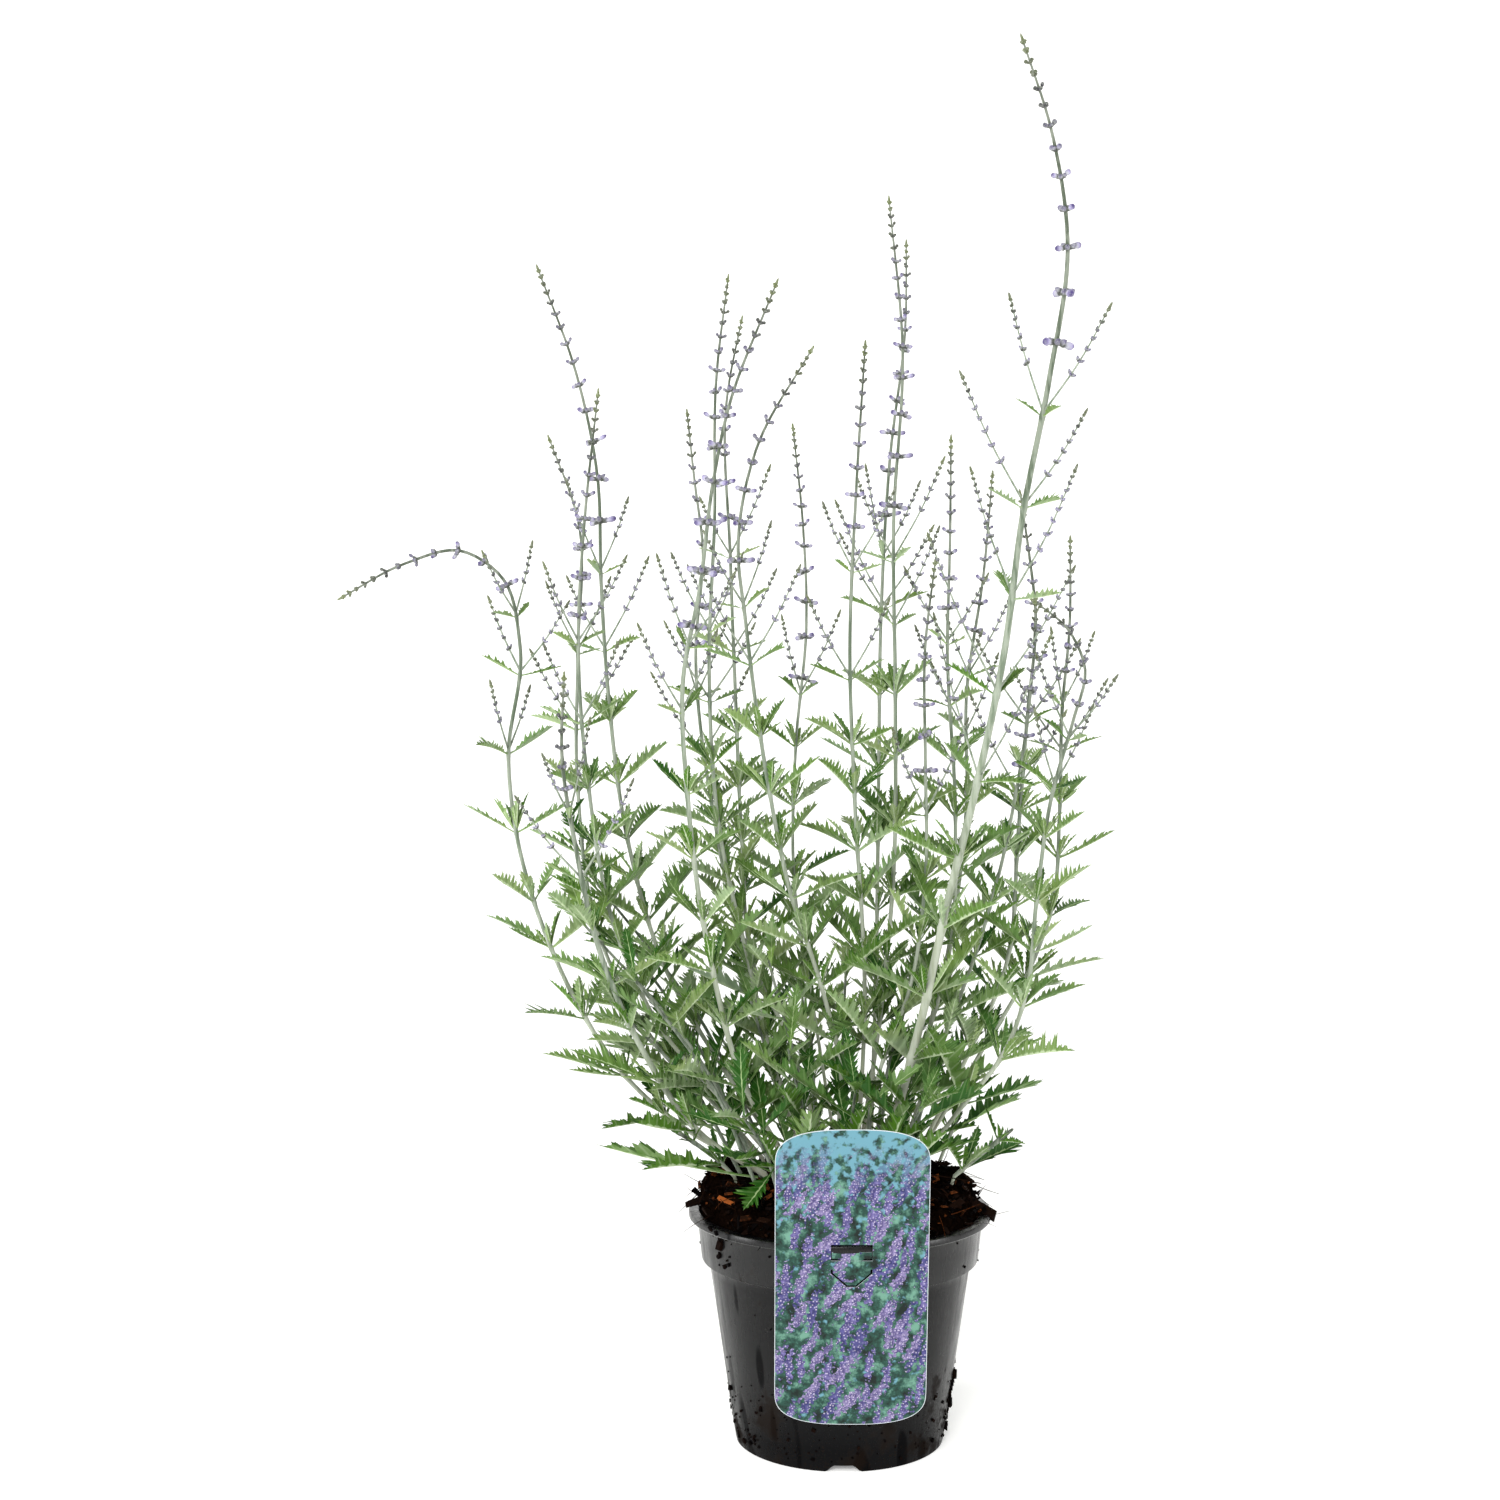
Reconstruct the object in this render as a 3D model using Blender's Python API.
# Potted Russian sage: a black nursery pot filled with soil, a hang label hooked on its rim, and the
# plant, a clump of shoots with cut leaves, side spikes and whorls of buds.
#
# Sizes are in millimetres until a mesh is made. The origin is the middle of the pot's base, with +Z up.

import math
import random

import bmesh
import bpy
import numpy as np
from mathutils.bvhtree import BVHTree

MM = 0.001
GAP = 0.35  # left between pieces that touch
SEED = 17

# Pot
RIM_RADIUS = 85.0
LIP_HEIGHT = 4.2
COLLAR_RADIUS = 80.0
COLLAR_FOOT_RADIUS = 77.8
WALL_TOP_RADIUS = 73.6
BASE_RADIUS = 58.6
POT_HEIGHT = 130.0
COLLAR_BOTTOM = 102.5
WALL = 1.5
FLOOR = 4.8
FLAT_BASE_RADIUS = 47.0
NOTCHES = 4
NOTCH_HEIGHT = 3.6
POT_SIDES = 36

# Soil
SOIL_EDGE = 130.5
SOIL_RISE = 19.0
SOIL_SIDES = 24
SOIL_ROWS = (68.0, 52.0, 35.0, 16.0)  # radii of the rings over its top
SOIL_ROUGHNESS = 1.1
RIPPLE = 1.6
HEAPS = [(-66.0, 4.0, 7.0, 14.0), (60.0, 18.0, 5.0, 12.0)]  # where each stands, its height and its spread
HOLE_DEPTH = 18.0

# Label
LABEL_WIDTH = 81.0
LABEL_HEIGHT = 166.0
LABEL_CORNER = 19.0
LABEL_THICKNESS = 0.8
LABEL_FOOT = 29.0
LABEL_CENTRE = 3.0
LABEL_LEAN = math.radians(11.0)
WINDOW_WIDTH = 22.0
WINDOW_LOW = 122.4
WINDOW_HIGH = 131.4
HOOK_WIDTH = 20.0
HOOK_THICKNESS = 1.0
HOOK_TOE_RADIUS = 81.5

# Stems
LINE_STEP = 4.0
STEM_TAPER = 0.85
TIP_HALF_WIDTH = 0.55
LEAFY_TIP_HALF_WIDTH = 0.8
FOOT_ABOVE_SOIL = 1.2

# Leaves
LEAF_LOW = 60.0
LEAF_HIGH = 22.0
LONG_LEAF = 36.0  # leaves over this have two teeth a side
LEAF_HALF_WIDTH = 0.148  # of its length
TOOTHED = 0.72  # share of the length that the side teeth take
NOTCH_DEPTH = 0.30  # share of the half width that is left behind a tooth
BLADE = 0.95
FOLD = 0.34
ARCH = 0.20
LEAF_RISE = 33.0
LEAF_SWAY = 9.0

# Side spikes and buds
SPIKE_RISE = 50.0
SPIKE_SWAY = 12.0
SPIKE_SHORTENING = 0.07  # from one pair of side spikes to the next above it
SPIKE_WHORLS = 2
SPIKE_HALF_WIDTH = 0.85
SPIKE_TIP_HALF_WIDTH = 0.6
WHORL_SPACING = 29.0
CROWDING = 1.25  # how much closer the whorls stand towards the tip
BUD_LOW = 6.8
BUD_HIGH = 2.6
BUD_LEAN = 0.30

# Keeping growth clear
CLEAR = 0.5
STUB = 4.5

# Each try turns a leaf sideways, raises it, both in degrees, and scales it, until it stands clear
LEAF_TRIES = [
    (0, 0, 1.0), (12, 0, 1.0), (-12, 0, 1.0), (0, 12, 1.0), (0, -12, 1.0), (20, 6, 1.0), (-20, 6, 1.0),
    (12, -14, 1.0), (-12, -14, 1.0), (0, 22, 1.0), (24, -6, 0.9), (-24, -6, 0.9), (16, 20, 0.9),
    (-16, 20, 0.9), (0, -24, 0.9), (22, -22, 0.85), (-22, -22, 0.85), (0, 0, 0.75), (20, 0, 0.75),
    (-20, 0, 0.75), (0, 18, 0.65), (0, 0, 0.55), (20, 12, 0.55), (-20, 12, 0.55), (0, 18, 0.42),
    (0, 0, 0.35), (0, -20, 0.3),
]
SPIKE_TRIES = [
    (0, 0, 1.0), (16, 0, 1.0), (-16, 0, 1.0), (0, 10, 1.0), (0, -12, 1.0), (30, 0, 0.95), (-30, 0, 0.95),
    (20, 12, 0.85), (-20, 12, 0.85), (0, 0, 0.7), (0, 16, 0.6),
]


def shoot(foot, route, pairs, width=2.7, forks=1, spiked=True, turn=42, leaf=1.0, spike=52.0):
    """One leafy shoot: where it leaves the soil, the points its stem passes, and the heights of its leaf pairs.

    forks is how many of its highest pairs carry side spikes, turn the heading of its first pair in degrees,
    leaf the size of its leaves against the common one, and spike the length of its longest side spikes.
    """
    return dict(foot=foot, route=route, pairs=pairs, width=width, forks=forks, spiked=spiked, turn=turn, leaf=leaf,
                spike=spike)


SHOOTS = {
    "shoot_a": shoot(
        (-46, -2),
        [(-85, -4, 174), (-120, -6, 205), (-145, -8, 243), (-164, -10, 285), (-180, -13, 342), (-184, -15, 384),
         (-177, -18, 446), (-187, -20, 484), (-209, -21, 498), (-239, -23, 491), (-276, -25, 471)],
        [183, 205, 236, 275, 303, 342, 384, 426, 459], width=3.0, forks=3, turn=38, spike=44.0),
    "shoot_b": shoot(
        (-38, -18),
        [(-79, -25, 178), (-107, -34, 221), (-130, -44, 275), (-144, -57, 340), (-150, -66, 386), (-148, -75, 432)],
        [178, 205, 235, 262, 290, 318, 352], width=3.9, forks=2, turn=50),
    "shoot_c": shoot(
        (-40, 14),
        [(-68, 17, 182), (-97, 20, 210), (-134, 27, 272), (-150, 36, 369), (-150, 42, 441), (-150, 50, 518),
         (-168, 55, 569)],
        [205, 240, 280, 323, 360, 397, 441], forks=2, turn=55),
    "shoot_d": shoot(
        (-30, -6),
        [(-65, -9, 191), (-101, -13, 235), (-124, -17, 286), (-139, -23, 367), (-144, -30, 452), (-140, -34, 515),
         (-132, -40, 584)],
        [200, 226, 250, 276, 302, 332, 367, 402, 445], forks=2, turn=35),
    "shoot_e": shoot(
        (-30, 24),
        [(-67, 24, 206), (-98, 23, 260), (-120, 23, 334), (-131, 22, 418), (-135, 21, 483), (-137, 21, 543),
         (-149, 21, 601), (-171, 20, 661)],
        [225, 260, 286, 309, 334, 367, 402, 441, 483], width=2.9, forks=2, turn=48),
    "shoot_f": shoot(
        (-24, -22),
        [(-52, -28, 201), (-72, -37, 275), (-84, -49, 364), (-86, -58, 429), (-77, -65, 476), (-70, -73, 530),
         (-62, -79, 568), (-36, -90, 634)],
        [201, 235, 265, 292, 329, 364, 408, 444], width=3.4, forks=2, turn=40),
    "shoot_g": shoot(
        (-20, 10),
        [(-39, 16, 215), (-52, 21, 269), (-68, 28, 341), (-74, 38, 433), (-71, 47, 519), (-70, 56, 603),
         (-63, 62, 663)],
        [222, 258, 282, 310, 341, 376, 412, 452], forks=2, turn=30),
    "shoot_h": shoot(
        (-18, 38),
        [(-45, 52, 230), (-70, 69, 335), (-83, 89, 444), (-79, 100, 506), (-84, 107, 546), (-89, 115, 591)],
        [215, 250, 285, 320, 350, 380, 413], forks=2, turn=60),
    "shoot_i": shoot(
        (-8, 24),
        [(-29, 32, 222), (-48, 37, 261), (-55, 46, 332), (-59, 58, 418), (-62, 68, 497), (-64, 81, 595),
         (-55, 88, 643)],
        [240, 270, 303, 332, 361, 395, 440, 497], forks=2, turn=44),
    "shoot_j": shoot(
        (-4, -8),
        [(0, -10, 211), (-10, -12, 254), (-29, -15, 313), (-41, -19, 373), (-53, -23, 460), (-57, -25, 500),
         (-47, -28, 553), (-16, -32, 608)],
        [225, 254, 278, 305, 330, 362, 395, 433, 466], width=2.9, forks=2, turn=52),
    "shoot_k": shoot(
        (0, 44),
        [(-12, 61, 226), (-24, 80, 305), (-23, 99, 384), (-16, 118, 460), (-18, 135, 525), (-24, 150, 586)],
        [240, 275, 305, 348, 384, 414], width=2.2, turn=36),
    "shoot_l": shoot(
        (10, 4),
        [(14, 1, 252), (8, -3, 360), (5, -6, 445), (8, -9, 528), (13, -12, 614)],
        [235, 270, 303, 330, 360, 389, 423, 483], forks=2, turn=46),
    "shoot_m": shoot(
        (12, 28),
        [(24, 30, 230), (32, 32, 314), (33, 34, 415), (32, 37, 519), (37, 39, 614), (29, 42, 704)],
        [225, 262, 300, 340, 379, 415, 456, 492], width=2.9, forks=2, turn=40, spike=66.0),
    "shoot_n": shoot(
        (20, 46),
        [(24, 61, 267), (26, 76, 373), (28, 90, 465), (34, 104, 560), (44, 117, 642), (45, 125, 695)],
        [245, 290, 330, 370, 415, 465, 497], width=2.6, forks=2, turn=58),
    "shoot_o": shoot(
        (26, 16),
        [(47, 22, 210), (65, 29, 276), (68, 36, 344), (64, 47, 444), (66, 55, 509), (67, 62, 570)],
        [235, 275, 310, 344, 376, 409, 444], forks=2, turn=33),
    "shoot_p": shoot(
        (22, -22),
        [(31, -28, 191), (45, -37, 251), (56, -47, 307), (70, -59, 370), (83, -72, 441), (91, -87, 515),
         (102, -102, 581), (109, -116, 646), (99, -129, 699), (82, -140, 744)],
        [191, 218, 251, 291, 329, 370, 416, 467, 515, 559], width=5.6, forks=5, turn=30, leaf=1.08, spike=84.0),
    "shoot_q": shoot(
        (10, -20),
        [(20, -16, 205), (39, -12, 258), (47, -12, 320), (46, -20, 384), (45, -30, 446), (50, -38, 494)],
        [215, 245, 280, 315, 352], width=2.4, turn=50),
    "shoot_r": shoot(
        (36, 38),
        [(52, 52, 212), (68, 65, 274), (79, 83, 354), (80, 97, 416), (92, 115, 491), (99, 130, 555)],
        [230, 270, 312, 354, 393, 425], forks=2, turn=38),
    "shoot_s": shoot(
        (40, 6),
        [(70, 18, 205), (97, 29, 264), (105, 44, 336), (112, 58, 407), (118, 70, 466), (115, 77, 500),
         (110, 85, 540)],
        [215, 245, 270, 295, 323, 349, 373, 397], turn=52),
    "shoot_t": shoot(
        (30, -4),
        [(54, -1, 215), (76, 2, 272), (91, 4, 324), (99, 6, 363), (107, 9, 415), (111, 12, 477)],
        [204, 236, 268, 300, 332, 363], width=2.4, turn=42),
    "shoot_u": shoot(
        (44, 22),
        [(84, 38, 212), (115, 51, 262), (126, 57, 290), (133, 71, 350), (136, 85, 407), (142, 97, 459),
         (144, 110, 514)],
        [215, 250, 285, 320, 352, 380, 407], forks=2, turn=47),
    "shoot_v": shoot(
        (38, -16),
        [(65, -18, 188), (90, -20, 221), (102, -22, 255), (107, -24, 305), (115, -27, 365), (126, -30, 406),
         (132, -31, 433), (123, -32, 454), (101, -34, 472)],
        [190, 216, 246, 274, 305, 340, 365, 391], width=2.9, forks=2, turn=34),
    "basal_shoot_1": shoot(
        (-56, -16), [(-73, -24, 166), (-90, -31, 179)], [158, 172], width=2.2, forks=0, spiked=False, leaf=0.9),
    "basal_shoot_2": shoot(
        (-12, -38), [(-19, -46, 165), (-22, -50, 192)], [160, 184], width=2.2, forks=0, spiked=False, leaf=0.85),
    "basal_shoot_3": shoot(
        (10, -42), [(13, -50, 168), (14, -54, 198)], [162, 188], width=2.2, forks=0, spiked=False, leaf=0.85),
    "basal_shoot_4": shoot(
        (60, -10), [(78, -14, 163), (96, -16, 178)], [154, 170], width=2.2, forks=0, spiked=False, leaf=0.85),
    "basal_shoot_5": shoot(
        (58, 42), [(72, 55, 172), (82, 62, 200)], [160, 188], width=2.2, forks=0, spiked=False, leaf=0.95),
    "basal_shoot_6": shoot(
        (-6, 64), [(-12, 78, 180), (-14, 86, 214)], [162, 184, 206], width=2.2, forks=0, spiked=False, leaf=0.95),
    "basal_shoot_7": shoot(
        (-46, 46), [(-64, 62, 175), (-74, 72, 205)], [162, 190], width=2.2, forks=0, spiked=False, leaf=0.95),
}


def unit(v):
    """The vector v at length 1."""
    return v / np.linalg.norm(v)


def square_to(v, along):
    """What is left of v once its run along the unit vector is taken away, at length 1."""
    return unit(v - along * np.dot(v, along))


def soil_height(x, y):
    """Height of the soil's top: a mound over the pot, with ripples and two heaps near the rim."""
    far = np.hypot(x, y) / COLLAR_RADIUS
    height = SOIL_EDGE + SOIL_RISE * (1.0 - far**5) + RIPPLE * np.sin(x / 9.0 + 1.0) * np.cos(y / 8.0)
    for heap_x, heap_y, rise, spread in HEAPS:
        height += rise * np.exp(-((x - heap_x) ** 2 + (y - heap_y) ** 2) / (2.0 * spread**2))
    return height


# A stem's line


class Line:
    """A smooth curve through points, read every few millimetres, with a side direction carried along it."""

    def __init__(self, points, side):
        knots = np.array(points, float)
        at = np.concatenate([[0.0], np.cumsum(np.linalg.norm(np.diff(knots, axis=0), axis=1))])
        slope = np.gradient(knots, at, axis=0)
        u = np.linspace(0.0, at[-1], int(at[-1] / LINE_STEP) + 2)
        k = np.clip(np.searchsorted(at, u) - 1, 0, len(at) - 2)
        span = (at[k + 1] - at[k])[:, None]
        s = (u - at[k])[:, None] / span
        self.points = (
            (2 * s**3 - 3 * s**2 + 1) * knots[k]
            + (s**3 - 2 * s**2 + s) * span * slope[k]
            + (3 * s**2 - 2 * s**3) * knots[k + 1]
            + (s**3 - s**2) * span * slope[k + 1]
        )
        steps = np.diff(self.points, axis=0)
        self.travel = np.concatenate([[0.0], np.cumsum(np.linalg.norm(steps, axis=1))])
        self.length = self.travel[-1]
        along = np.gradient(self.points, self.travel, axis=0)
        self.along = along / np.linalg.norm(along, axis=1)[:, None]
        self.side = np.zeros_like(self.points)
        for i, direction in enumerate(self.along):
            side = square_to(side, direction)
            self.side[i] = side

    def at(self, travel):
        """Centre, direction and first side direction at a distance along the line."""
        centre, along, side = (
            np.array([np.interp(travel, self.travel, values[:, axis]) for axis in range(3)])
            for values in (self.points, self.along, self.side)
        )
        along = unit(along)
        return centre, along, square_to(side, along)

    def corner(self, travel, radius, quarter):
        """The point that lies radius from the line, a number of quarter turns round from its side direction."""
        centre, along, side = self.at(travel)
        turned = (side, np.cross(along, side), -side, -np.cross(along, side))[quarter % 4]
        return centre + turned * radius

    def reach(self, height):
        """The distance along the line at which it first comes to a height."""
        above = np.argmax(self.points[:, 2] >= height)
        return float(self.travel[above])


# One closed mesh, grown point by point


class Growth:
    """The points and faces of one shoot, and the openings left in its stem for leaves, spikes and buds."""

    def __init__(self):
        self.points = []
        self.faces = []
        self.openings = []

    def add(self, *points):
        """Add points and give their numbers."""
        first = len(self.points)
        self.points.extend(np.asarray(p, float) for p in points)
        return list(range(first, len(self.points)))

    def sleeve(self, lower, upper):
        """Join two rings of four by a wall."""
        for i in range(4):
            j = (i + 1) % 4
            self.faces.append((lower[i], lower[j], upper[j], upper[i]))

    def point_off(self, ring, tip):
        """Close a ring of four to a pointed end."""
        end = self.add(tip)[0]
        for i in range(4):
            self.faces.append((ring[i], ring[(i + 1) % 4], end))

    def opening(self, ring):
        """The places of an opening's four corners."""
        return [self.points[i] for i in ring]


def stem(growth, ring, line, joints, thickness):
    """Carry a stem from its ring of four along a line, past each joint, to its pointed end.

    A joint is a place, a half height, a quarter turn, a kind and a size. It leaves two diamond openings on
    opposite sides of the stem, whose corners are the low and high points and two shared points between them.
    """
    for place, half, quarter, kind, size in joints:
        radius = thickness(place)
        quarters = [(quarter + i) % 4 for i in range(4)]
        low_a, low_b = growth.add(*(line.corner(place - half, radius, quarters[i]) for i in (0, 2)))
        mid_a, mid_b = growth.add(*(line.corner(place, radius, quarters[i]) for i in (1, 3)))
        high_a, high_b = growth.add(*(line.corner(place + half, radius, quarters[i]) for i in (0, 2)))
        lower = [0, 0, 0, 0]
        upper = [0, 0, 0, 0]
        for q, low, high in zip(quarters, (low_a, mid_a, low_b, mid_b), (high_a, mid_a, high_b, mid_b)):
            lower[q] = low
            upper[q] = high
        growth.sleeve(ring, lower)
        growth.openings.append(((low_a, mid_a, high_a, mid_b), line, place, kind, size))
        growth.openings.append(((low_b, mid_b, high_b, mid_a), line, place, kind, size))
        ring = upper
    growth.point_off(ring, line.at(line.length)[0])


# Keeping growth clear


class Room:
    """What already stands, as boxes and search trees."""

    def __init__(self):
        self.standing = []

    def add(self, points, faces, owner=None):
        """Note a shape that later growth keeps clear of. An owner is a stem's name and one of its openings."""
        points = np.asarray(points)
        tree = BVHTree.FromPolygons([tuple(p) for p in points], faces)
        self.standing.append((points.min(axis=0), points.max(axis=0), tree, owner))

    def is_clear(self, points, faces, but):
        """True where a shape touches nothing that stands, but for shapes of one owner or of one stem."""
        points = np.asarray(points)
        low = points.min(axis=0)
        high = points.max(axis=0)
        tree = None
        for other_low, other_high, other, whose in self.standing:
            if whose is not None and but in (whose, whose[0]):
                continue
            if np.any(other_low > high) or np.any(other_high < low):
                continue
            tree = tree or BVHTree.FromPolygons([tuple(p) for p in points], faces)
            if tree.overlap(other):
                return False
        return True


def tube(points, radii):
    """Points and faces of a closed four-sided tube, the room that a side spike takes up with its buds."""
    points = np.asarray(points)
    along = np.gradient(points, axis=0)
    first = np.cross(along, (0.31, 0.95, 0.11))
    first /= np.linalg.norm(first, axis=1)[:, None]
    second = np.cross(along, first)
    second /= np.linalg.norm(second, axis=1)[:, None]
    radii = np.asarray(radii)[:, None]
    rings = np.stack([points + radii * side for side in (first, second, -first, -second)], axis=1).reshape(-1, 3)
    faces = [(0, 3, 2, 1)]
    for k in range(len(points) - 1):
        for i in range(4):
            j = (i + 1) % 4
            faces.append((4 * k + i, 4 * k + j, 4 * k + 4 + j, 4 * k + 4 + i))
    last = 4 * len(points) - 4
    faces.append((last, last + 1, last + 2, last + 3))
    return rings, faces


# Leaves


def half_width(u):
    """Half the width of a leaf's outline at u of its length, as a share of the widest."""
    return math.sin(math.pi * u**0.8)


def leaf_faces(growth, ring, root, heading, across, length, thickness, grow_by=0.0):
    """Grow a toothed leaf from an opening of four corners.

    The leaf is a thin blade folded along its rib. Each side has one or two forward teeth and a long end
    tooth, and behind each tooth the rib has a point on the upper and on the lower face, so that both faces
    are split alike.
    """
    across = square_to(across, heading)
    up = np.cross(heading, across)
    teeth = 2 if length > LONG_LEAF else 1
    pitch = TOOTHED / (teeth + 0.1)
    width = LEAF_HALF_WIDTH * length

    def place(u, v, lift=0.0):
        arch = ARCH * length * (u - 1.5 * u * u)
        return root + heading * (u * length) + across * v + up * (arch + FOLD * abs(v) + lift)

    low, right, high, left = ring
    ribs = [(high, low)]
    rows = {1: [right], -1: [left]}
    for k in range(teeth):
        rib = pitch * (k + 0.6)
        tooth = pitch * (k + 1.08)
        notch = pitch * (k + 1.26)
        half = 0.5 * thickness
        ribs.append(tuple(growth.add(place(rib, 0.0, half), place(rib, 0.0, -half))))
        for sign in (1, -1):
            reach = width * half_width(tooth) + grow_by
            inner = NOTCH_DEPTH * width * half_width(notch) + 0.4 + grow_by
            rows[sign].extend(growth.add(place(tooth, sign * reach), place(notch, sign * inner)))
    end = growth.add(place(1.0 + grow_by / length, 0.0))[0]
    for sign in (1, -1):
        row = rows[sign]
        for face in (0, 1):
            turned = (sign < 0) != (face == 1)
            triangles = []
            for k in range(teeth):
                back = ribs[k][face]
                rib = ribs[k + 1][face]
                behind, tooth, notch = row[2 * k : 2 * k + 3]
                triangles += [(back, rib, behind), (rib, tooth, behind), (rib, notch, tooth)]
            triangles.append((ribs[-1][face], end, row[-1]))
            growth.faces.extend(t[::-1] if turned else t for t in triangles)


def leaf_heading(line, place, opening, turn, rise):
    """The way a leaf points: out from its opening, turned sideways and raised, in degrees."""
    centre, along, _ = line.at(place)
    out = square_to(sum(opening) / 4.0 - centre, along)
    across = unit(opening[1] - opening[3])
    turn = math.radians(turn)
    rise = math.radians(rise)
    out = math.cos(turn) * out + math.sin(turn) * across
    up = unit(0.6 * along + np.array((0.0, 0.0, 0.4)))
    level = square_to(out, up)
    return math.cos(rise) * level + math.sin(rise) * up, np.cross(up, level)


def trial_leaf(corners, root, shape):
    """A leaf with CLEAR more on every side, which must stand clear before the leaf itself is grown."""
    trial = Growth()
    ring = trial.add(*corners)
    trial.faces.append(tuple(ring[::-1]))
    leaf_faces(trial, ring, root, *shape, BLADE + 2.0 * CLEAR, CLEAR)
    return trial.points, trial.faces


def try_leaf(room, growth, ring, line, place, size, draw, owner):
    """Grow a leaf in the first direction, at the first size, in which it stands clear."""
    opening = growth.opening(ring)
    root = sum(opening) / 4.0
    sway = draw.uniform(-LEAF_SWAY, LEAF_SWAY)
    lift = draw.uniform(-LEAF_SWAY, LEAF_SWAY)
    length = size * draw.uniform(0.9, 1.1)
    for turn, rise, scale in LEAF_TRIES:
        heading, across = leaf_heading(line, place, opening, turn + sway, LEAF_RISE + rise + lift)
        shape = (heading, across, length * scale)
        start = root + heading * (0.02 * length * scale + 1.5)
        up = np.cross(heading, square_to(across, heading))
        wide = 0.5 * np.linalg.norm(opening[1] - opening[3]) + 0.3
        outer = (start - CLEAR * up, start + wide * across, start + CLEAR * up, start - wide * across)
        if all(room.is_clear(*trial_leaf(corners, root, shape), but)
               for corners, but in ((outer, owner), (opening, owner[0]))):
            first = len(growth.points)
            first_face = len(growth.faces)
            leaf_faces(growth, ring, root, *shape, BLADE)
            own = list(ring) + list(range(first, len(growth.points)))
            number = {old: new for new, old in enumerate(own)}
            faces = [tuple(number[i] for i in face) for face in growth.faces[first_face:]]
            room.add([growth.points[i] for i in own], faces)
            return
    growth.faces.append(ring)


# Side spikes and buds


def spike_line(root, heading, length):
    """The line of a side spike, which starts along its heading and curves upwards."""
    rise = np.array((0.0, 0.0, 1.0))
    middle = root + heading * (0.5 * length) + rise * (0.03 * length)
    end = root + heading * (0.96 * length) + rise * (0.16 * length)
    return [root, middle, end]


def try_spike(room, growth, ring, line, place, size, draw, owner):
    """Grow a side spike with its buds in the first direction in which it stands clear."""
    opening = growth.opening(ring)
    root = sum(opening) / 4.0
    length = size * draw.uniform(0.85, 1.15)
    sway = draw.uniform(-SPIKE_SWAY, SPIKE_SWAY)
    for turn, rise, scale in SPIKE_TRIES:
        heading, _ = leaf_heading(line, place, opening, turn + sway, SPIKE_RISE + rise)
        points = spike_line(root, heading, length * scale)
        side_line = Line(points, unit(opening[0] - root))
        outer = [side_line.at(t * side_line.length)[0] for t in (0.16, 0.4, 0.7, 1.0)]
        shape = tube(outer, (1.4 + CLEAR, BUD_HIGH + CLEAR, BUD_HIGH + CLEAR, 1.2 + CLEAR))
        if not room.is_clear(*shape, owner):
            continue
        room.add(*shape)
        joints = []
        for k in range(SPIKE_WHORLS):
            at = (0.42 + 0.5 * k / (SPIKE_WHORLS - 1)) * side_line.length
            joints.append((at, 1.0, k % 2, "bud", BUD_HIGH * (1.0 - 0.12 * k)))
        taper = (SPIKE_HALF_WIDTH - SPIKE_TIP_HALF_WIDTH) / side_line.length
        stem(growth, ring, side_line, joints, lambda at: SPIKE_HALF_WIDTH - taper * at)
        return
    growth.faces.append(ring)


def stub(growth, ring, line, place):
    """A low pyramid over an opening, where nothing else may pass."""
    opening = growth.opening(ring)
    middle = sum(opening) / 4.0
    out = square_to(middle - line.at(place)[0], line.at(place)[1])
    return opening + [middle + STUB * out], [(0, 1, 4), (1, 2, 4), (2, 3, 4), (3, 0, 4)]


def bud(growth, ring, line, place, size):
    """Close an opening with a pointed bud."""
    opening = growth.opening(ring)
    centre, along, _ = line.at(place)
    middle = sum(opening) / 4.0
    tip = middle + square_to(middle - centre, along) * size + along * (BUD_LEAN * size)
    growth.point_off(ring, tip)


# A shoot


def whorl_places(start, length, spiked):
    """Places of the bud whorls from the last leaves to the tip, closer together towards the tip."""
    if not spiked:
        return []
    run = length - start - 5.0
    count = max(3, round(run / WHORL_SPACING) + 1)
    return [start + run * (1.0 - (1.0 - (k + 1) / count) ** CROWDING) for k in range(count)]


def shoot_joints(spec, line, thickness):
    """Every joint of a shoot's stem from the soil up: leaf pairs, side spikes above the highest, and whorls."""
    joints = []
    count = len(spec["pairs"])
    quarter = 0
    place = 0.0
    for k, height in enumerate(spec["pairs"]):
        high = k / (count - 1)
        size = spec["leaf"] * (LEAF_LOW + (LEAF_HIGH - LEAF_LOW) * high**1.2)
        place = line.reach(height)
        half = max(1.3, 0.85 * thickness(place))
        joints.append((place, half, quarter, "leaf", size))
        if k >= count - spec["forks"]:
            fork_half = max(0.9, 0.6 * thickness(place))
            fork = place + half + fork_half + 0.7
            shorter = SPIKE_SHORTENING * (k - count + spec["forks"])
            joints.append((fork, fork_half, quarter, "spike", spec["spike"] * (1.0 - shorter)))
            place = fork
        quarter = 1 - quarter
    start = place + 6.0
    places = whorl_places(start, line.length, spec["spiked"])
    for k, place in enumerate(places):
        share = k / max(1, len(places) - 1)
        joints.append((place, 1.4 - 0.5 * share, quarter, "bud", BUD_LOW + (BUD_HIGH - BUD_LOW) * share**0.6))
        quarter = 1 - quarter
    return joints


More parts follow.
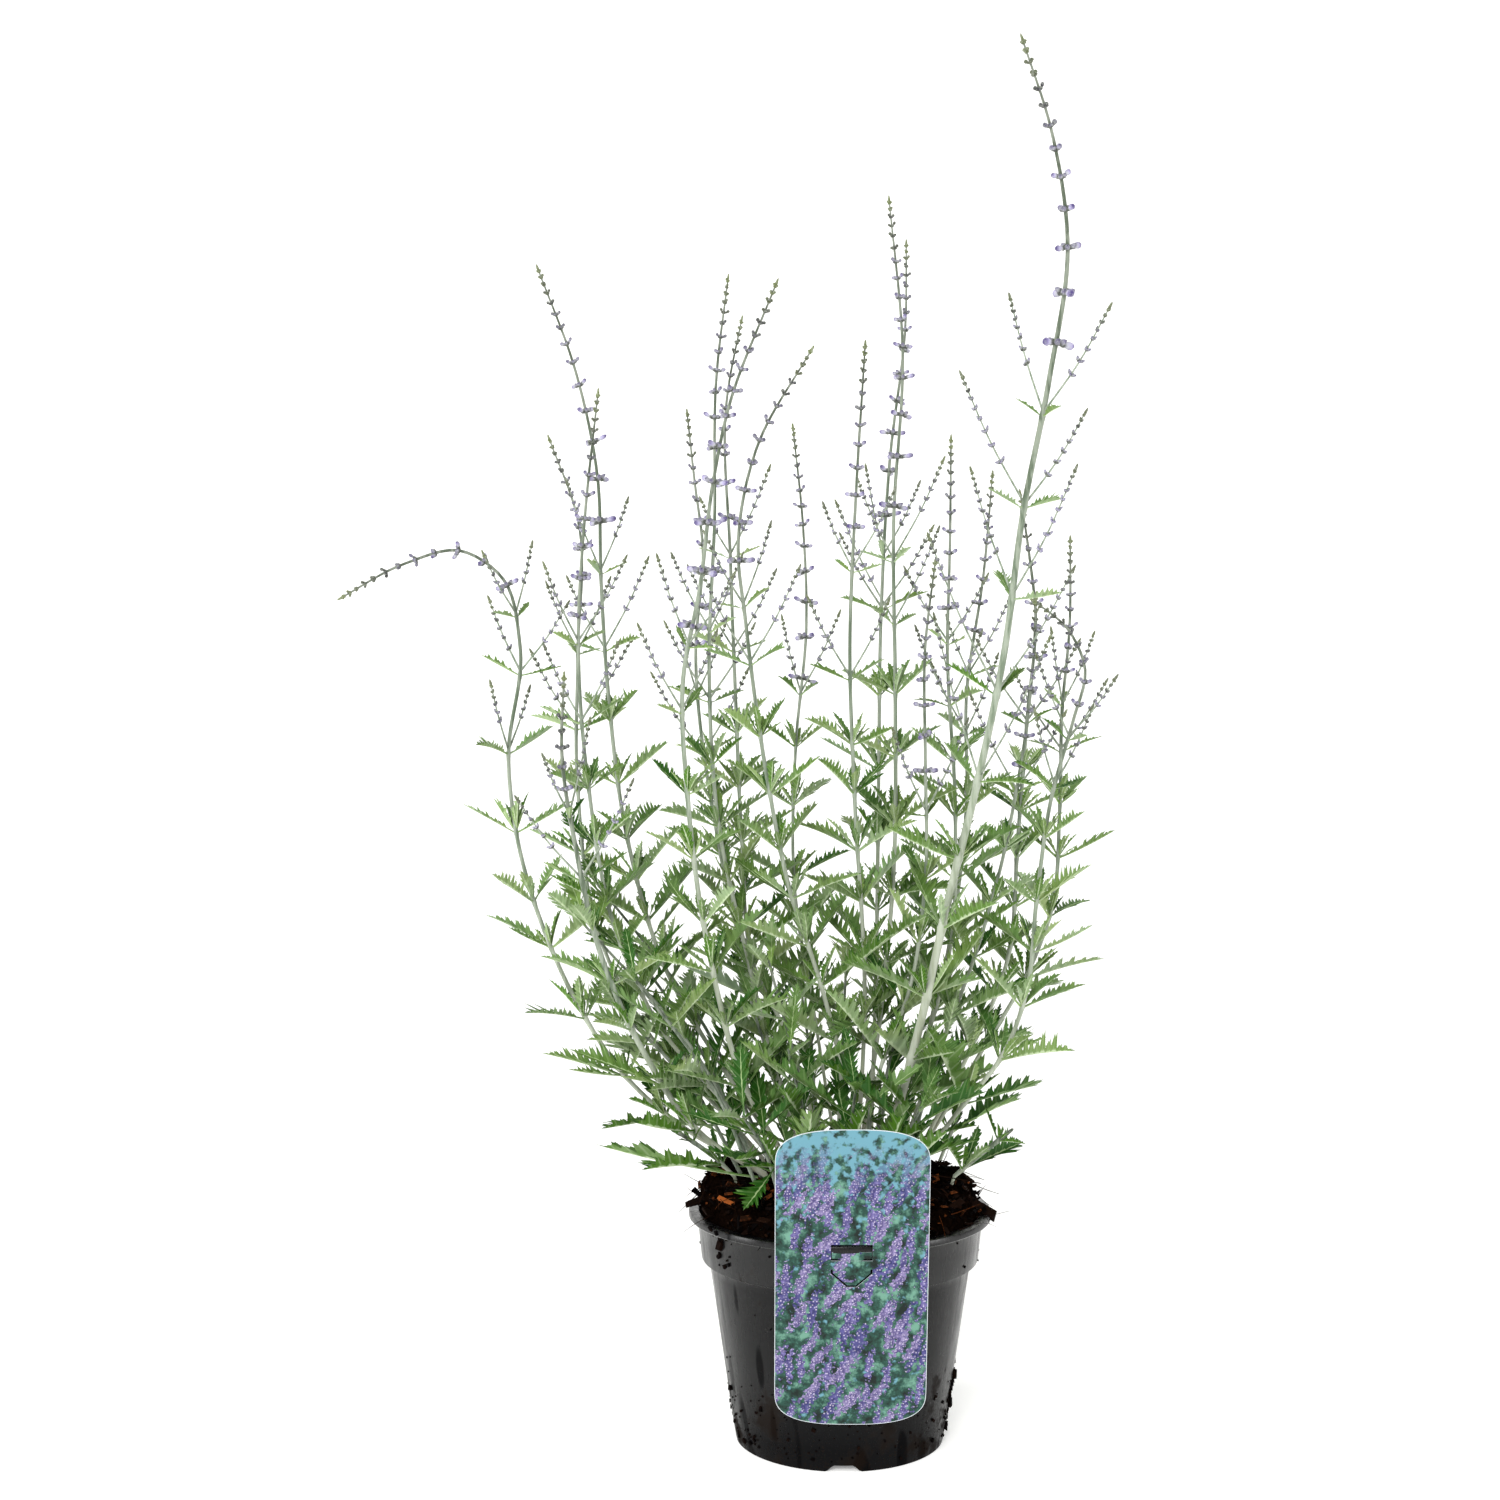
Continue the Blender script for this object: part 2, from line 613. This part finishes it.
def start_shoot(spec):
    """The bare stem of a shoot: a square foot in the soil, then its line to the tip."""
    x, y = spec["foot"]
    top = float(soil_height(x, y)) + FOOT_ABOVE_SOIL
    heading = np.array((math.cos(math.radians(spec["turn"])), math.sin(math.radians(spec["turn"])), 0.0))
    line = Line([(x, y, top)] + spec["route"], heading)
    low = 0.5 * spec["width"]
    high = TIP_HALF_WIDTH if spec["spiked"] else LEAFY_TIP_HALF_WIDTH

    def thickness(place):
        return low + (high - low) * (max(0.0, place) / line.length) ** STEM_TAPER

    growth = Growth()
    turned = (heading, np.cross((0.0, 0.0, 1.0), heading), -heading, -np.cross((0.0, 0.0, 1.0), heading))
    foot = np.array((x, y, top - HOLE_DEPTH + GAP + FOOT_ABOVE_SOIL))
    bottom = growth.add(*(foot + side * low for side in turned))
    collar = growth.add(*(np.array((x, y, top)) + side * low for side in turned))
    growth.faces.append(tuple(bottom[::-1]))
    growth.sleeve(bottom, collar)
    stem(growth, collar, line, shoot_joints(spec, line, thickness), thickness)
    return growth


def grow_plant(room):
    """Grow every shoot: first the bare stems, then the spikes and buds, then the leaves from the ground up."""
    draw = random.Random(SEED)
    growths = {}
    for name, spec in SHOOTS.items():
        growth = start_shoot(spec)
        growths[name] = growth
        room.add(growth.points, growth.faces, (name, None))
        for ring, line, place, _, _ in growth.openings:
            room.add(*stub(growth, ring, line, place), (name, ring))
    for kind, grow in (("spike", try_spike), ("leaf", try_leaf)):
        waiting = [(name, ring, line, place, size) for name, growth in growths.items()
                   for ring, line, place, what, size in growth.openings if what == kind]
        waiting.sort(key=lambda item: growths[item[0]].points[item[1][0]][2])
        for name, ring, line, place, size in waiting:
            grow(room, growths[name], ring, line, place, size, draw, (name, ring))
    for growth in growths.values():
        for ring, line, place, what, size in growth.openings:
            if what == "bud":
                bud(growth, ring, line, place, size)
    return growths


# Objects


def material(name, colour, roughness, metallic=0.0):
    """A Principled material with one colour, roughness and metallic value."""
    made = bpy.data.materials.new(name)
    made.use_nodes = True
    shader = made.node_tree.nodes["Principled BSDF"]
    shader.inputs["Base Color"].default_value = (*colour, 1.0)
    shader.inputs["Roughness"].default_value = roughness
    shader.inputs["Metallic"].default_value = metallic
    return made


def make_object(name, points, faces, finish):
    """An object from points in millimetres and faces, with its material."""
    mesh = bpy.data.meshes.new(name)
    mesh.from_pydata([tuple(float(c) * MM for c in p) for p in points], [], faces)
    mesh.materials.append(finish)
    mesh.update()
    made = bpy.data.objects.new(name, mesh)
    bpy.context.scene.collection.objects.link(made)
    return made


def turn_profile(profile, sides, phase):
    """Points and faces of a closed solid turned from a profile of (radius, height) from its foot's middle
    out and back to its inside's middle, both of which lie on the axis."""
    angles = phase + np.arange(sides) * 2.0 * math.pi / sides
    inner = profile[1:-1]
    points = [(r * math.cos(a), r * math.sin(a), z) for r, z in inner for a in angles]
    bottom = len(points)
    points += [(0.0, 0.0, profile[0][1]), (0.0, 0.0, profile[-1][1])]
    faces = []
    for k in range(len(inner) - 1):
        for i in range(sides):
            j = (i + 1) % sides
            faces.append((k * sides + i, k * sides + j, (k + 1) * sides + j, (k + 1) * sides + i))
    last = (len(inner) - 1) * sides
    for i in range(sides):
        j = (i + 1) % sides
        faces.append((bottom, j, i))
        faces.append((bottom + 1, last + i, last + j))
    return points, faces


def pot():
    """The pot, turned in one wall, with drain notches where its base meets its wall."""
    profile = [
        (0.0, 0.0),
        (FLAT_BASE_RADIUS, 0.0),
        (BASE_RADIUS, 0.0),
        (WALL_TOP_RADIUS, COLLAR_BOTTOM - 0.8),
        (COLLAR_FOOT_RADIUS, COLLAR_BOTTOM),
        (COLLAR_RADIUS, POT_HEIGHT - LIP_HEIGHT),
        (RIM_RADIUS, POT_HEIGHT - LIP_HEIGHT + 0.4),
        (RIM_RADIUS, POT_HEIGHT),
        (COLLAR_RADIUS - WALL, POT_HEIGHT),
        (COLLAR_FOOT_RADIUS - WALL, COLLAR_BOTTOM + 0.6),
        (WALL_TOP_RADIUS - WALL, COLLAR_BOTTOM - 1.2),
        (BASE_RADIUS - WALL, FLOOR),
        (0.0, FLOOR),
    ]
    phase = math.pi / POT_SIDES
    points, faces = turn_profile(profile, POT_SIDES, phase)
    per_notch = POT_SIDES // NOTCHES
    front = (3 * POT_SIDES) // 4
    for i in range(POT_SIDES):
        if (i - front) % per_notch in (0, per_notch - 1):
            x, y, z = points[POT_SIDES + i]
            points[POT_SIDES + i] = (x, y, NOTCH_HEIGHT)
    return make_object("pot", points, faces, material("pot_plastic", (0.012, 0.012, 0.013), 0.32))


def soil_profile():
    """The soil's outline below its top: inside the pot's wall, which stays clear of it all round."""
    shrink = math.cos(math.pi / POT_SIDES)

    def inside(radius):
        return radius * shrink - GAP

    return [
        (0.0, FLOOR + GAP),
        (inside(BASE_RADIUS - WALL) - 0.1, FLOOR + GAP),
        (inside(WALL_TOP_RADIUS - WALL), COLLAR_BOTTOM - 1.4),
        (inside(COLLAR_FOOT_RADIUS - WALL), COLLAR_BOTTOM + 1.0),
        (inside(COLLAR_RADIUS - WALL) - 0.2, POT_HEIGHT - 1.5),
    ]


def soil():
    """The soil, a solid that fills the pot and mounds over its rim, with a plain square hole for each stem."""
    rows = soil_profile()
    below = len(rows) - 1
    rows += [(radius, POT_HEIGHT) for radius in SOIL_ROWS + (0.0,)]
    points, faces = turn_profile(rows, SOIL_SIDES, 0.0)
    draw = random.Random(SEED)
    middle = len(points) - 1
    for i in [*range(below * SOIL_SIDES, middle - 1), middle]:
        x, y, _ = points[i]
        points[i] = (x, y, float(soil_height(x, y)) + draw.uniform(-SOIL_ROUGHNESS, SOIL_ROUGHNESS))
    made = make_object("soil", points, faces, material("soil", (0.03, 0.018, 0.011), 0.95))
    cut_holes(made)
    return made


def cut_holes(made):
    """Cut each stem's hole in the soil with one mesh of square posts."""
    points = []
    faces = []
    for spec in SHOOTS.values():
        x, y = spec["foot"]
        top = float(soil_height(x, y))
        reach = 0.5 * spec["width"] + 1.5 * GAP
        first = len(points)
        for z in (top - HOLE_DEPTH, top + 12.0):
            for k in range(4):
                angle = math.radians(spec["turn"] + 90.0 * k)
                points.append((x + reach * math.cos(angle), y + reach * math.sin(angle), z))
        faces.append(tuple(first + i for i in (3, 2, 1, 0)))
        faces.append(tuple(first + i for i in (4, 5, 6, 7)))
        for i in range(4):
            j = (i + 1) % 4
            faces.append((first + i, first + j, first + 4 + j, first + 4 + i))
    cutter = make_object("hole_cutter", points, faces, made.data.materials[0])
    apply_boolean(made, cutter, "DIFFERENCE")


def apply_boolean(made, other, operation):
    """Cut or join an object with another, which is then removed."""
    modifier = made.modifiers.new("boolean", "BOOLEAN")
    modifier.operation = operation
    modifier.object = other
    modifier.solver = "EXACT"
    graph = bpy.context.evaluated_depsgraph_get()
    mesh = bpy.data.meshes.new_from_object(made.evaluated_get(graph))
    made.modifiers.clear()
    made.data = mesh
    bpy.data.objects.remove(other, do_unlink=True)


def label_outline():
    """The label's edge in its own plane: straight sides, and ends that are flat arches with round corners."""
    half = 0.5 * LABEL_WIDTH
    points = []
    for end, middle in ((1, LABEL_HEIGHT - LABEL_CORNER), (-1, LABEL_CORNER)):
        for k in range(9):
            angle = math.pi * k / 8 + (0.0 if end > 0 else math.pi)
            c, s = math.cos(angle), math.sin(angle)
            x = half * math.copysign(abs(c) ** 0.72, c) if abs(c) > 1e-6 else 0.0
            z = middle + LABEL_CORNER * math.copysign(abs(s) ** 0.72, s) if abs(s) > 1e-6 else middle
            points.append((x, z))
    return points


def label():
    """The hang label: a thin leaning plate with a window at the rim, and a hook that rests on the rim."""
    lean = math.tan(LABEL_LEAN)
    lip = -(RIM_RADIUS + GAP)
    outline = label_outline()
    window = [(-0.5 * WINDOW_WIDTH, WINDOW_LOW - LABEL_FOOT), (0.5 * WINDOW_WIDTH, WINDOW_LOW - LABEL_FOOT),
              (0.5 * WINDOW_WIDTH, WINDOW_HIGH - LABEL_FOOT), (-0.5 * WINDOW_WIDTH, WINDOW_HIGH - LABEL_FOOT)]
    plate = bmesh.new()
    edges = []
    for loop in (outline, window):
        ring = [plate.verts.new((x * MM, 0.0, z * MM)) for x, z in loop]
        edges += [plate.edges.new((a, b)) for a, b in zip(ring, ring[1:] + ring[:1])]
    bmesh.ops.triangle_fill(plate, edges=edges, use_beauty=True)
    for face in plate.faces:
        face.normal_update()
        if face.normal.y > 0.0:
            face.normal_flip()
    back = bmesh.ops.extrude_face_region(plate, geom=plate.faces[:])
    for vertex in back["geom"]:
        if isinstance(vertex, bmesh.types.BMVert):
            vertex.co.y += LABEL_THICKNESS * MM
    for vertex in plate.verts:
        height = LABEL_FOOT + vertex.co.z / MM
        vertex.co.z = height * MM
        vertex.co.x += LABEL_CENTRE * MM
        vertex.co.y += (lip - LABEL_THICKNESS - (height - POT_HEIGHT) * lean) * MM
    bmesh.ops.recalc_face_normals(plate, faces=plate.faces[:])
    mesh = bpy.data.meshes.new("label")
    plate.to_mesh(mesh)
    plate.free()
    mesh.materials.append(material("label_card", (0.22, 0.25, 0.42), 0.35))
    made = bpy.data.objects.new("label", mesh)
    bpy.context.scene.collection.objects.link(made)
    apply_boolean(made, label_hook(lip, lean), "UNION")
    return made


def label_hook(lip, lean):
    """The hook: a strip from the window's upper edge back over the rim, with a toe that rests on it."""
    front = lip - LABEL_THICKNESS - (WINDOW_HIGH - POT_HEIGHT) * lean + 0.3
    toe = -HOOK_TOE_RADIUS
    toe_front = toe - HOOK_THICKNESS
    low = WINDOW_HIGH - 0.4 * HOOK_THICKNESS
    high = low + HOOK_THICKNESS
    side = [(front, low), (toe_front, low), (toe_front, POT_HEIGHT + GAP), (toe, POT_HEIGHT + GAP), (toe, high),
            (front, high)]
    half = 0.5 * HOOK_WIDTH
    points = [(LABEL_CENTRE + end * half, y, z) for end in (-1, 1) for y, z in side]
    count = len(side)
    faces = [tuple(range(count))[::-1], tuple(range(count, 2 * count))]
    for i in range(count):
        j = (i + 1) % count
        faces.append((i, j, count + j, count + i))
    return make_object("label_hook", points, faces, material("label_hook_card", (0.8, 0.8, 0.8), 0.4))


def obstacle(made):
    """An object's points in millimetres and its faces."""
    points = [tuple(c / MM for c in v.co) for v in made.data.vertices]
    return points, [tuple(p.vertices) for p in made.data.polygons]


def main():
    """Clear the scene, then make the pot, the soil, the label and the plant."""
    for old in list(bpy.data.objects):
        bpy.data.objects.remove(old, do_unlink=True)
    room = Room()
    for made in (pot(), soil(), label()):
        room.add(*obstacle(made))
    for name, growth in grow_plant(room).items():
        finish = material(name + "_leaf_and_stem", (0.22, 0.34, 0.17), 0.6)
        make_object(name, growth.points, growth.faces, finish)


main()
